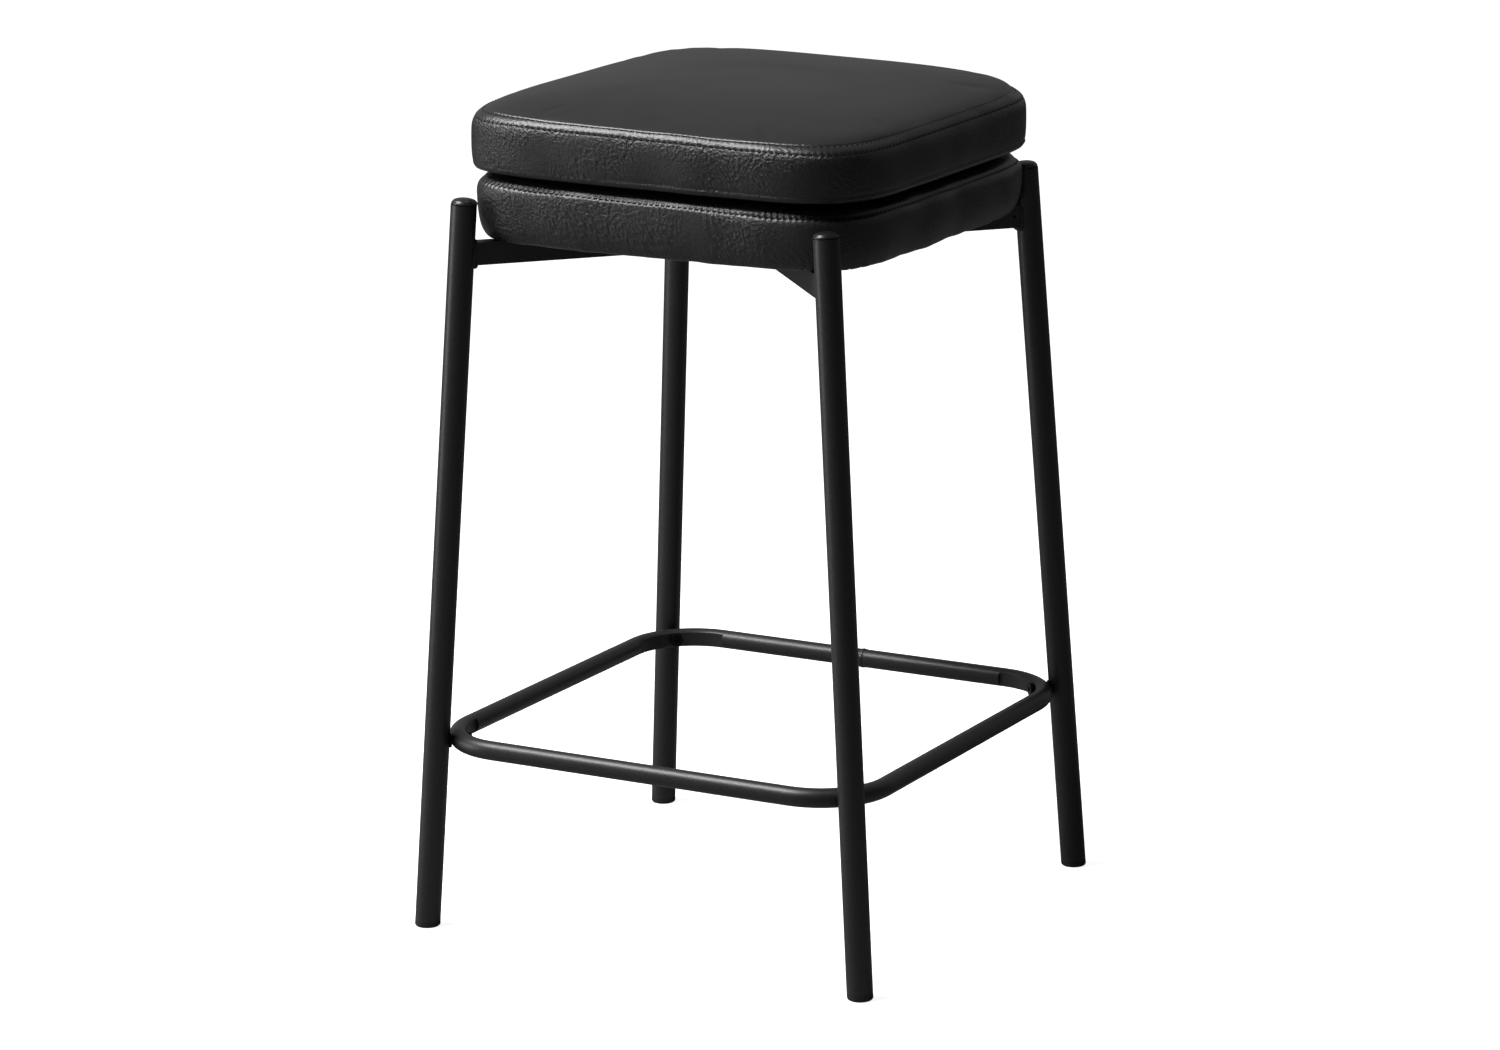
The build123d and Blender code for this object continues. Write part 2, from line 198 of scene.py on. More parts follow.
def tint(tree, shader, factor, start, dark, end, light):
    """Colours the shader along a ramp between two sRGB colours at two values of a factor."""
    node = add(tree, "ShaderNodeValToRGB", {"Fac": factor})
    for element, place, colour in zip(node.color_ramp.elements, (start, end), (dark, light)):
        element.position = place
        element.color = linear(colour)
    tree.links.new(node.outputs["Color"], shader.inputs["Base Color"])


def make_leatherette():
    """Polyurethane leatherette, cast on paper with a fine pebble grain and a satin top coat:
    nearly black, soft sheen, fine pebbles, and slanting pull creases where it is worked."""
    material, tree, shader = new_material("leatherette", IOR=1.5, Specular_IOR_Level=0.5)
    place = object_space(tree)
    creasing = add(tree, "ShaderNodeAttribute", attribute_name="creasing").outputs["Fac"]
    # pebbles, drawn 1.5 mm across so that they show, with narrow valleys between them
    pebble = add(
        tree,
        "ShaderNodeTexVoronoi",
        {"Vector": place, "Scale": 1 / (1.5 * MM), "Smoothness": 0.6},
        feature="SMOOTH_F1",
    )
    fine = noise(tree, place, 0.5, 3.0)
    grain = math_node(tree, "ADD", pebble.outputs["Distance"], fine)
    # creases some 2.2 mm apart, bent by a coarser noise and drawn out along the slant
    coarse = {"Vector": place, "Scale": 1 / (30 * MM), "Detail": 1.0}
    bend = add(tree, "ShaderNodeTexNoise", coarse).outputs["Color"]
    push = add(tree, "ShaderNodeVectorMath", {0: bend, "Scale": 9 * MM}, operation="SCALE")
    bent = add(tree, "ShaderNodeVectorMath", {0: place, 1: push.outputs["Vector"]})
    turned = (math.radians(-38), math.radians(40), 0.0)
    slant = add(tree, "ShaderNodeMapping", {"Vector": bent.outputs["Vector"], "Rotation": turned})
    stretch = {"Vector": slant.outputs["Vector"], "Scale": (1.0, 1.0, 0.36)}
    drawn = add(tree, "ShaderNodeMapping", stretch)
    crease = add(
        tree,
        "ShaderNodeTexVoronoi",
        {"Vector": drawn.outputs["Vector"], "Scale": 1 / (2.2 * MM), "Smoothness": 0.25},
        feature="SMOOTH_F1",
    )
    patch = noise(tree, place, 38, 1.0)
    patchy = remap(tree, patch, 0.3, 0.55, 0.0, 1.0)
    worked = math_node(tree, "MULTIPLY", patchy, creasing)
    grain_strength = math_node(tree, "MULTIPLY_ADD", creasing, 0.75, 0.12)
    grained = bump(tree, grain, grain_strength, 0.28)
    creased = bump(tree, crease.outputs["Distance"], worked, 0.62, Normal=grained)
    tree.links.new(creased, shader.inputs["Normal"])
    tint(tree, shader, patch, 0.3, "#18181a", 0.7, "#1c1c1d")
    rough = remap(tree, fine, 0.3, 0.7, 0.33, 0.41)
    tree.links.new(rough, shader.inputs["Roughness"])
    return material


def make_powder_coat():
    """Polyester powder coat, sprayed and baked on steel tube: satin black with a fine,
    slightly sparkling grit texture."""
    material, tree, shader = new_material("powder_coat", IOR=1.5)
    place = object_space(tree)
    grit = noise(tree, place, 0.9, 4.0, Roughness=0.62)
    peel = noise(tree, place, 6, 1.0)
    height = math_node(tree, "ADD", grit, peel)
    tree.links.new(bump(tree, height, 0.45, 0.10), shader.inputs["Normal"])
    tint(tree, shader, grit, 0.35, "#1c1a1a", 0.7, "#2b2929")
    rough = remap(tree, grit, 0.35, 0.65, 0.34, 0.48)
    tree.links.new(rough, shader.inputs["Roughness"])
    return material


def make_moulded_plastic(name, colour, roughness, texture):
    """Injection-moulded polyethylene: an even black with the faint spark-eroded texture of its
    mould, the feet coarser and duller than the caps."""
    material, tree, shader = new_material(name, IOR=1.5, Roughness=roughness)
    skin = noise(tree, object_space(tree), 0.7, 3.0)
    tree.links.new(bump(tree, skin, texture, 0.08), shader.inputs["Normal"])
    tint(tree, shader, skin, 0.3, colour, 0.8, "#222221")
    return material


def make_thread():
    """Bonded polyester sewing thread, twisted from three plies: near black with a dull sheen."""
    material, tree, shader = new_material(
        "bonded_thread", Roughness=0.8, IOR=1.5, Specular_IOR_Level=0.3
    )
    twist = {"Vector": object_space(tree), "Scale": 1 / (3.2 * MM), "Distortion": 0.6}
    ply = add(tree, "ShaderNodeTexWave", twist, bands_direction="DIAGONAL").outputs["Fac"]
    tree.links.new(bump(tree, ply, 0.5, 0.12), shader.inputs["Normal"])
    tint(tree, shader, ply, 0.0, "#0a0a0a", 1.0, "#151516")
    return material


def make_dust_cloth():
    """Spunbond polypropylene: thin black non-woven cloth, matte, with small bonded dots."""
    material, tree, shader = new_material(
        "spunbond_cloth", Roughness=0.85, IOR=1.49, Sheen_Weight=0.2
    )
    place = object_space(tree)
    diagonal = {"Vector": place, "Rotation": (0.0, 0.0, math.radians(45))}
    turned = add(tree, "ShaderNodeMapping", diagonal).outputs["Vector"]
    lattice = {"Vector": turned, "Scale": 1 / (1.8 * MM), "Randomness": 0.0}
    dots = add(tree, "ShaderNodeTexVoronoi", lattice).outputs["Distance"]
    fibre = noise(tree, place, 0.8, 5.0, Distortion=1.5)
    cloth = math_node(tree, "ADD", dots, fibre)
    tree.links.new(bump(tree, cloth, 0.7, 0.15), shader.inputs["Normal"])
    tint(tree, shader, fibre, 0.3, "#101011", 0.7, "#29292b")
    return material


def make_plywood():
    """Poplar plywood, rotary-cut: pale faces with soft figure, and edges that show the plies."""
    material, tree, shader = new_material("poplar_plywood", Roughness=0.65, IOR=1.5)
    place = object_space(tree)
    long = add(tree, "ShaderNodeMapping", {"Vector": place, "Scale": (1.0, 8.0, 1.0)})
    figure = noise(tree, long.outputs["Vector"], 60, 6.0, Distortion=0.8)
    # plies 1.8 mm thick, light and dark in turn: the wave is the sine of 20 times its place
    layers = {"Vector": place, "Scale": 1 / (20 * 1.8 * MM) * math.pi}
    plies = add(tree, "ShaderNodeTexWave", layers, bands_direction="Z").outputs["Fac"]
    mixed = math_node(tree, "MULTIPLY_ADD", plies, 0.25, figure)
    tint(tree, shader, mixed, 0.3, "#c9ad80", 0.9, "#a5855a")
    tree.links.new(bump(tree, figure, 0.2, 0.2), shader.inputs["Normal"])
    return material


def make_plated_steel(name, dark, light, roughness):
    """Cold-headed steel with a plated or oxide finish: metallic, with small handling marks."""
    material, tree, shader = new_material(name, Metallic=1.0)
    marks = noise(tree, object_space(tree), 1.5, 5.0, Roughness=0.7)
    tint(tree, shader, marks, 0.3, dark, 0.7, light)
    rough = remap(tree, marks, 0.3, 0.7, roughness - 0.07, roughness + 0.07)
    tree.links.new(rough, shader.inputs["Roughness"])
    tree.links.new(bump(tree, marks, 0.2, 0.05), shader.inputs["Normal"])
    return material


leatherette = make_leatherette()
powder_coat = make_powder_coat()
cap_plastic = make_moulded_plastic("glossy_polyethylene", "#131313", 0.30, 0.15)
foot_plastic = make_moulded_plastic("matte_polyethylene", "#121211", 0.55, 0.5)
bonded_thread = make_thread()
dust_cloth = make_dust_cloth()
plywood = make_plywood()
zinc_steel = make_plated_steel("zinc_plated_steel", "#9b9da0", "#c3c5c6", 0.34)
black_steel = make_plated_steel("black_oxide_steel", "#161617", "#2e2e30", 0.38)
staple_steel = make_plated_steel("galvanised_wire", "#8d8f91", "#b4b6b7", 0.40)

finishes = {
    "leg_": powder_coat,
    "leg_cap_": cap_plastic,
    "foot_": foot_plastic,
    "footrest_ring": powder_coat,
    "crossbar_": powder_coat,
    "footrest_screws": black_steel,
    "footrest_rivet_nuts": black_steel,
    "seat_": zinc_steel,
    "spacer_": zinc_steel,
    "tee_": zinc_steel,
    "dust_cover": dust_cloth,
    "dust_cover_staples": staple_steel,
    "upper_cover_staples": staple_steel,
    "lower_board": plywood,
    "upper_board": plywood,
}
for name, node in nodes.items():
    matching = [start for start in finishes if name.startswith(start)]
    if matching:
        node.data.materials.clear()
        node.data.materials.append(finishes[max(matching, key=len)])


# ---- pads ----------------------------------------------------------------------------------
# A pad is a stack of rings.  Each ring starts as one superellipse, scaled, at one height, and
# is then drawn in at its corners and leant.  The rings follow a profile that runs from the
# middle of the underside, up the side, over the seam and to the middle of the top.  Places
# along the profile are measured from the seam, in metres, positive towards the top, and places
# round the pad from the right side, anticlockwise.
STITCH_PITCH = 4.8 * MM
POINTS_PER_STITCH = 4
SPACING = STITCH_PITCH / POINTS_PER_STITCH
SQUARENESS = 6.3
CORNER_INSET = 0.35
SHOULDER_POWER = 36
CROWN_POWER = 3
SIDE_STEPS = 200
CLOTH_COLUMNS = 180
CLOTH_FRAMES = 20


def unit_outline(half_x, half_y, count):
    """Points of a superellipse, evenly spaced round it, as shares of its half widths, and its
    length: each coordinate is the signed root of a cosine or sine of the turn."""
    turn = np.linspace(0, 2 * np.pi, 8001)
    x = np.sign(np.cos(turn)) * np.abs(np.cos(turn)) ** (2 / SQUARENESS)
    y = np.sign(np.sin(turn)) * np.abs(np.sin(turn)) ** (2 / SQUARENESS)
    steps = np.hypot(np.diff(x) * half_x, np.diff(y) * half_y)
    along = np.concatenate([[0], np.cumsum(steps)])
    even = np.linspace(0, along[-1], count, endpoint=False)
    return np.stack([np.interp(even, along, x), np.interp(even, along, y)], axis=-1), along[-1]


class Pad:
    """A pad's form: the profile of its rings, and how the rings depart from it round the pad.

    Half gives the half widths at the seam, and widest how far the side bulges and at what
    height.  Side_power, low_round and low_depth shape the side above and below that height."""

    def __init__(
        self,
        name,
        bottom,
        top,
        seam_height,
        half,
        widest,
        side_power,
        low_round,
        low_depth,
        shoulder,
        puffed,
        leans,
    ):
        self.name = name
        self.shoulder, self.puffed, self.leans = shoulder, puffed, leans
        self.half = np.array(half)
        self.bulge, widest_height = widest
        # side, from the seam down: out to the widest height, then curving in to the underside
        fall = np.linspace(0, 1, SIDE_STEPS)
        upper_z = seam_height + (widest_height - seam_height) * fall
        upper_d = self.bulge * (1 - (1 - fall) ** side_power)
        drop = np.sin(fall * np.pi / 2)
        lower_z = widest_height + (bottom - widest_height) * drop
        lower_d = self.bulge - low_round * (1 - np.abs(np.cos(fall * np.pi / 2)) ** low_depth)
        inner = np.linspace(1, 0, 60)[1:]
        under_d = (self.half[0] + lower_d[-1]) * inner - self.half[0]
        self.down = np.stack(
            [
                np.concatenate([upper_d, lower_d[1:], under_d]),
                np.concatenate([upper_z, lower_z[1:], np.full(len(under_d), bottom)]),
            ]
        )
        # top, from the seam in: a tight shoulder beside the seam, then a long shallow crown
        share = np.concatenate([np.linspace(1, 0.8, 300), np.linspace(0.8, 0, 200)[1:]])
        crown = top - seam_height - shoulder
        rise = shoulder * (1 - share**SHOULDER_POWER) + crown * (1 - share**CROWN_POWER)
        self.up = np.stack([self.half[0] * (share - 1), seam_height + rise])
        self.down_length = self.length(self.down)
        self.up_length = self.length(self.up)
        self.side_length = self.length(self.down[:, : 2 * SIDE_STEPS - 1])

    @staticmethod
    def length(line):
        """The length of a line of two rows, across and up."""
        return np.hypot(*np.diff(line)).sum()

    def profile(self, places):
        """Scale and height of the ring at each place along the profile."""
        line = np.concatenate([self.down[:, ::-1], self.up[:, 1:]], axis=1)
        along = np.concatenate([[0], np.cumsum(np.hypot(*np.diff(line)))]) - self.down_length
        scale = 1 + np.interp(places, along, line[0]) / self.half[0]
        return scale, np.interp(places, along, line[1])

    def rings(self, places, columns):
        """The pad's points, as one array of rings by columns by 3.

        At the corners a ring stands in from the widest one by CORNER_INSET more than along the
        sides.  The shoulder is puffed up by its own share on each side (right, back, left,
        front), and the seam and the bottom edge each lean as a plane: a height in millimetres,
        and slopes along x and y.  The lean's top is the share of it that the crown keeps."""
        outline, _ = unit_outline(*self.half, columns)
        scale, height = self.profile(places)
        corner = smoothstep(0.25, 0.78, np.abs(outline[:, 0] * outline[:, 1]))
        inset = np.clip((1 - scale) * self.half[0] + self.bulge, 0, self.bulge) / self.half[0]
        share = scale[:, None] - CORNER_INSET * corner[None] * inset[:, None]
        plan = share[..., None] * outline[None] * self.half
        facing = np.maximum([outline[:, 0], outline[:, 1], -outline[:, 0], -outline[:, 1]], 0) ** 4
        puff = np.array(self.puffed) @ facing / facing.sum(axis=0)
        settled = np.where(places >= 0, self.shoulder * (1 - scale**SHOULDER_POWER) * scale**2, 0)
        z = height[:, None] - settled[:, None] * (1 - puff)
        seam_part = smoothstep(-self.side_length, -0.3 * self.side_length, places)
        edge_part = smoothstep(-self.side_length - 15 * MM, -self.side_length, places) - seam_part
        kept = self.leans["top"]
        top_part = kept + (1 - kept) * smoothstep(40 * MM, 5 * MM, places)
        for part, line in ((seam_part * top_part, "seam"), (edge_part, "edge")):
            lift, slope_x, slope_y = self.leans[line]
            z = z + part[:, None] * (lift * MM + plan[..., 0] * slope_x + plan[..., 1] * slope_y)
        return np.concatenate([plan, z[..., None]], axis=-1)


def surface_normals(rings):
    """Outward unit normals of a closed grid of rings, from the cross of its two directions."""
    around = np.roll(rings, -1, axis=1) - np.roll(rings, 1, axis=1)
    return unit(np.cross(around, np.gradient(rings, axis=0)))


def swell(pad, cap):
    """Blows the pad up as cloth; gives the places of a coarse grid's rings along the profile
    and how far each of its points moved.

    The seam, the bottom edge, the underside and the middle of the top stay pinned; the leather
    between them swells under the foam's pressure, and no point moves past the cap."""
    low = np.linspace(-pad.down_length * 0.96, -pad.side_length, 10)[:-1]
    side = np.linspace(-pad.side_length, 0, 12)[:-1]
    top = np.linspace(0, 1, 22) ** 1.15 * pad.up_length * 0.97
    places = np.concatenate([low, side, top])
    start = pad.rings(places, CLOTH_COLUMNS)
    points, faces = closed_grid(start)
    piece = new_piece(pad.name + "_cloth", points, faces, leatherette)
    held = places > 0.75 * pad.up_length
    held[: len(low) + 1] = True
    held[len(low) + len(side)] = True
    group = piece.vertex_groups.new(name="held")
    pinned = np.flatnonzero(np.repeat(held, CLOTH_COLUMNS)).tolist()
    group.add(pinned + [len(points) - 2, len(points) - 1], 1.0, "REPLACE")
    cloth = piece.modifiers.new("cloth", "CLOTH")
    settings = cloth.settings
    settings.quality = 6
    settings.mass = 0.3
    settings.tension_stiffness = 60
    settings.compression_stiffness = 60
    settings.shear_stiffness = 20
    settings.bending_stiffness = 4.0
    settings.use_pressure = True
    settings.uniform_pressure_force = 4.0
    settings.effector_weights.gravity = 0.0
    settings.vertex_group_mass = "held"
    cloth.point_cache.frame_start = 1
    cloth.point_cache.frame_end = CLOTH_FRAMES
    for step in range(1, CLOTH_FRAMES + 1):
        bpy.context.scene.frame_set(step)
    result = piece.evaluated_get(bpy.context.evaluated_depsgraph_get()).data
    blown = np.zeros(len(result.vertices) * 3, np.float32)
    result.vertices.foreach_get("co", blown)
    moved = blown.reshape(-1, 3)[: start.shape[0] * CLOTH_COLUMNS].reshape(start.shape) - start
    far = np.linalg.norm(moved, axis=-1, keepdims=True)
    moved *= cap * np.tanh(far / cap) / np.maximum(far, 1e-9)
    bpy.context.scene.frame_set(1)
    bpy.data.objects.remove(piece)
    return places, moved


def refine(places, moved, fine_places, columns):
    """Spreads coarse movements over a fine grid: round the pad by adding higher harmonics of
    size zero, and along the profile by a weighted mean of the nearest rings."""
    spectrum = np.fft.rfft(moved, axis=1)
    smooth = np.fft.irfft(spectrum, n=columns, axis=1) * (columns / moved.shape[1])
    spacing = np.gradient(places)
    weight = bell(fine_places[:, None] - places[None, :], 0.6 * spacing[None, :])
    weight /= weight.sum(axis=1, keepdims=True)
    return np.einsum("fr,rcx->fcx", weight, smooth)


def ring_curve(rings, places, place):
    """The closed line of points that runs round a pad at one place along its profile."""
    row = np.interp(place, places, np.arange(len(places)))
    low = int(row)
    share = row - low
    return rings[low] * (1 - share) + rings[low + 1] * share


STITCH_SHARE = 0.66
STITCH_RISE = 0.25 * MM
STITCH_SLANT = 0.3 * MM
STRAND_SIDES = 6


def stitches(name, line, normals, count, radius, seed):
    """A row of stitches laid along a closed line.

    Each is a strand bent down at both ends, thinning to a point in its hole: its height is
    the rise times a half sine along it, and its radius follows a root of that."""
    draw = np.random.default_rng(seed)
    share = np.linspace(0.06, 0.94, STRAND_SIDES)
    arch = np.sin(np.pi * share)
    number = np.arange(count)[:, None] + 0.5 + draw.normal(0, 0.02, (count, 1))
    along = (number + (share[None, :] - 0.5) * STITCH_SHARE) / count * len(line)
    base = along.astype(int) % len(line)
    after = (base + 1) % len(line)
    part = (along % 1)[..., None]
    centre = line[base] * (1 - part) + line[after] * part
    up = unit(normals[base] * (1 - part) + normals[after] * part)
    forward = unit(np.gradient(centre, axis=1))
    side = unit(np.cross(up, forward))
    lean = (share - 0.5)[None, :, None] * STITCH_SLANT
    centre = centre + up * (STITCH_RISE * arch)[None, :, None] + side * lean
    turn = np.linspace(0, 2 * np.pi, STRAND_SIDES, endpoint=False)
    spoke = side[:, :, None] * np.cos(turn)[:, None] + up[:, :, None] * np.sin(turn)[:, None]
    thick = radius * np.sqrt(arch)[None, :, None, None]
    points = (centre[:, :, None] + spoke * thick).reshape(-1, 3)
    size = len(share) * STRAND_SIDES
    ends = [list(range(STRAND_SIDES - 1, -1, -1)), list(range(size - STRAND_SIDES, size))]
    strand = grid_faces(len(share), STRAND_SIDES) + ends
    faces = []
    for first in range(0, count * size, size):
        faces += [[corner + first for corner in face] for face in strand]
    piece = new_piece(name, points, faces, bonded_thread)
    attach(piece, "root")


PAD_SHIFT = np.array([2.2, 1.2, 0.0]) * MM
upper_low, upper_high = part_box("upper_cover")
lower_low, lower_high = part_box("lower_cover")
UPPER_BULGE = 6.5 * MM
LOWER_BULGE = 3.4 * MM

upper = Pad(
    "upper_pad",
    bottom=upper_low.z,
    top=upper_high.z,
    seam_height=upper_high.z - 17.5 * MM,
    half=(upper_high.x - UPPER_BULGE, upper_high.y - UPPER_BULGE),
    widest=(UPPER_BULGE, upper_low.z + 18 * MM),
    side_power=5,
    low_round=3.5 * MM,
    low_depth=0.5,
    shoulder=8 * MM,
    puffed=(0.6, 1.0, 0.45, 0.2),
    leans={"seam": (1.6, -0.0162, 0.0045), "edge": (-0.8, -0.008, 0.0), "top": 1.0},
)
lower = Pad(
    "lower_pad",
    bottom=lower_low.z,
    top=lower_high.z,
    seam_height=lower_high.z - 7.5 * MM,
    half=(lower_high.x - LOWER_BULGE, lower_high.y - LOWER_BULGE),
    widest=(LOWER_BULGE, lower_low.z + 27 * MM),
    side_power=4,
    low_round=9 * MM,
    low_depth=0.6,
    shoulder=6.5 * MM,
    puffed=(1.0, 1.0, 1.0, 1.0),
    leans={"seam": (2.0, -0.016, 0.0), "edge": (0.0, 0.0, 0.0), "top": 0.0},
)


def fine_places(pad, bands):
    """Places of the fine rings: close together in the sewn bands, and wider apart elsewhere."""
    underside = (pad.down_length - pad.side_length) * 0.97
    under = -pad.side_length - underside * np.linspace(1, 0, 16) ** 1.6
    side = np.arange(-pad.side_length, 0, 1.7 * MM)
    top = pad.up_length * 0.985 * np.linspace(0, 1, 34) ** 1.7
    dense = [np.arange(low, high, 0.8 * MM) for low, high in bands]
    places = np.unique(np.concatenate([under, top, side] + dense))
    keep = np.concatenate([[True], np.diff(places) > 0.35 * MM])
    return places[keep]


def build_pad(pad, bands, cap, detail):
    """Makes a pad piece: the blown-up form, refined, with the sewn detail raised along its
    normals.  Gives the piece, its rings, their places and the number of stitches in a row."""
    count = int(round(unit_outline(*pad.half, 8)[1] / STITCH_PITCH))
    columns = count * POINTS_PER_STITCH
    coarse_places, moved = swell(pad, cap)
    places = fine_places(pad, bands)
    rings = pad.rings(places, columns) + refine(coarse_places, moved, places, columns)
    around = np.arange(columns)[None, :] * SPACING
    depth, creasing = detail(pad, places[:, None], around, rings)
    rings = rings + surface_normals(rings) * depth[..., None]
    rings = rings + PAD_SHIFT
    points, faces = closed_grid(rings)
    creasing = np.append(np.broadcast_to(creasing, rings.shape[:2]).ravel(), [0.0, 0.0])
    piece = new_piece(pad.name, points, faces, leatherette, creasing=creasing)
    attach(piece, "root")
    return piece, rings, places, count


def worked_share(rings):
    """How much each point faces the front or the left, where the leather is worked harder."""
    normals = surface_normals(rings)
    front = smoothstep(0.1, 0.8, -normals[..., 1])
    left = smoothstep(0.1, 0.8, -normals[..., 0])
    return np.clip(front + left, 0, 1)


def side_share(pad, places):
    """1 on the side of the pad, fading out past the seam and below the bottom edge."""
    low = -pad.side_length
    return smoothstep(low - 2 * MM, low + 6 * MM, places) * smoothstep(6 * MM, 0, places)


def lap_waves(around, places, shortest, longest, heading, spread, seed):
    """The smooth noise of waves(), closed on itself round the pad, its lengths in millimetres."""
    lengths = (shortest * MM, longest * MM)
    return waves(around, places, lengths, heading, spread, seed, around.size * SPACING)


def puckers(places, around, row, reach, seed):
    """Gathers beside a stitch row: ridges one stitch apart, uneven, dying away within the reach."""
    strength = 0.75 + 0.2 * lap_waves(around, 0 * around, 20, 70, 0, 0, seed)
    shift = 0.8 * lap_waves(around, 0 * around, 30, 90, 0, 0, seed + 1)
    ridge = np.cos(2 * np.pi * around / STITCH_PITCH + shift)
    return strength * ridge * bell(places - row, reach)


def pulled_down(around):
    """How far a stitch row is pulled in: most under each stitch, least at the holes between."""
    return 0.55 - 0.45 * np.cos(2 * np.pi * around / STITCH_PITCH)


UPPER_ROWS = (-1.3 * MM, -7.3 * MM)
LOWER_ROW = -1.6 * MM
UPPER_FOLD = 5 * MM


def upper_detail(pad, places, around, rings):
    """Upper pad: a felled seam with a stitch row each side of its raised band, gathers beside
    the rows, slanting pull creases on the worked sides, and a fold above the bottom edge.

    Gives how far the surface is raised, and how strongly its material is creased."""
    worked = worked_share(rings)
    on_side = side_share(pad, places)
    seam = -0.5 * MM * bell(places, 0.5 * MM)
    band = smoothstep(-8 * MM, -7 * MM, places) * smoothstep(0.3 * MM, -0.7 * MM, places)
    rows = -0.15 * MM * bell(places - UPPER_ROWS[0], 0.5 * MM)
    rows = rows - 0.8 * MM * bell(places - UPPER_ROWS[1], 0.6 * MM) * pulled_down(around)
    above = puckers(places, around, UPPER_ROWS[0] + 1 * MM, 1.4 * MM, 11)
    below = puckers(places, around, UPPER_ROWS[1], 1.7 * MM, 13)
    gathers = ((0.10 + 0.06 * worked) * above + (0.05 + 0.15 * worked) * below) * MM
    slant = lap_waves(around, places, 5, 11, 35, 25, 17)
    patch = smoothstep(-0.3, 1.0, lap_waves(around, places, 40, 110, 0, 90, 19))
    creases = -0.06 * MM * np.exp(-3 * np.abs(slant)) * patch * worked * on_side
    lie = 0.25 * MM * lap_waves(around, places, 35, 90, 20, 60, 23) * on_side
    past_fold = places + pad.side_length - UPPER_FOLD
    fold = 0.6 * MM * bell(past_fold, 0.7 * MM) - 0.3 * MM * bell(past_fold - 1.6 * MM, 0.7 * MM)
    fold = fold * (0.3 + 0.7 * smoothstep(-60 * MM, 10 * MM, rings[..., 0]))
    creasing = (0.2 + 0.8 * worked) * on_side * smoothstep(-6 * MM, -9 * MM, places) + 0.06
    on_band = smoothstep(5 * MM, 0, places) * (places > -7 * MM)
    creasing = np.maximum(creasing, 0.4 * worked * on_band)
    return seam + 0.35 * MM * band + rows + gathers + creases + lie + fold, creasing


def lower_detail(pad, places, around, rings):
    """Lower pad: a seam close under the top edge with strong gathers above and below it, pull
    creases on the worked sides, and small uneven tucks where the leather turns under, deepest
    at the corners.

    Gives how far the surface is raised, and how strongly its material is creased."""
    worked = worked_share(rings)
    on_side = side_share(pad, places)
    seam = -0.3 * MM * bell(places, 0.6 * MM)
    row = -0.8 * MM * bell(places - LOWER_ROW, 0.6 * MM) * pulled_down(around)
    below = puckers(places, around, LOWER_ROW - 1 * MM, 2.0 * MM, 31)
    above = puckers(places, around, 2 * MM, 2.4 * MM, 33)
    gathers = ((0.05 + 0.22 * worked) * below + (0.05 + 0.14 * worked) * above) * MM
    slant = lap_waves(around, places, 5, 12, 35, 28, 37)
    patch = smoothstep(-0.5, 0.9, lap_waves(around, places, 40, 110, 0, 90, 39))
    creases = -0.08 * MM * np.exp(-3 * np.abs(slant)) * patch * worked * on_side
    lie = 0.35 * MM * lap_waves(around, places, 30, 90, 20, 60, 41) * on_side
    past_edge = places + pad.side_length
    tucks = 0.14 * MM * lap_waves(around, 0 * around, 18, 50, 0, 0, 43) * bell(past_edge, 7 * MM)
    corner = np.abs(rings[..., 0] * rings[..., 1]) / (pad.half[0] * pad.half[1])
    pleats = np.exp(-4 * np.abs(lap_waves(around, 0 * around, 16, 30, 0, 0, 47)))
    pleats = pleats * smoothstep(0.55, 0.75, corner) * bell(past_edge + 4 * MM, 8 * MM)
    below_row = 0.15 + 0.85 * smoothstep(-3 * MM, -9 * MM, places)
    creasing = (0.2 + 0.8 * worked) * on_side * below_row + 0.08
    return seam + row + gathers + creases + lie + tucks - 1.0 * MM * pleats, creasing


fold_place = UPPER_FOLD - upper.side_length
upper_bands = [(-10 * MM, 3 * MM), (fold_place - 3 * MM, fold_place + 3 * MM)]
upper_piece, upper_rings, upper_places, upper_count = build_pad(
    upper, upper_bands, 0.8 * MM, upper_detail
)
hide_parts("upper_cover", "upper_foam")
lower_piece, lower_rings, lower_places, lower_count = build_pad(
    lower, [(-8 * MM, 6 * MM)], 1.2 * MM, lower_detail
)
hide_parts("lower_cover", "lower_foam")

upper_sewing = (upper_rings, upper_places, upper_count)
lower_sewing = (lower_rings, lower_places, lower_count)
for label, (rings, places, count), row, radius in (
    ("upper_seam_stitches", upper_sewing, UPPER_ROWS[0], 0.25 * MM),
    ("upper_band_stitches", upper_sewing, UPPER_ROWS[1], 0.5 * MM),
    ("lower_seam_stitches", lower_sewing, LOWER_ROW, 0.55 * MM),
):
    line = ring_curve(rings, places, row)
    normals = ring_curve(surface_normals(rings), places, row)
    stitches(label, line, normals, count, radius, seed=len(label))


# ---- legs: caps and weld beads -------------------------------------------------------------
leg_places = ("front_left", "front_right", "back_right", "back_left")
feet = {m["name"][5:-6]: np.array(m["pos_m"]) for m in frame["record"]["mounts"]}
TUBE_RADIUS = 10 * MM


def leg_axis(place):
    """The middle of a leg's sole, and the unit direction from it up the leg's axis."""
    low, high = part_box("leg_cap_" + place)
    foot = feet[place]
    middle = (np.array(low) + np.array(high)) / 2
    return foot, unit(middle - foot)


def cross_frame(along):
    """Two unit directions square to a direction."""
    first = unit(np.cross([0.0, 1.0, 0.0], along))
    return first, np.cross(along, first)


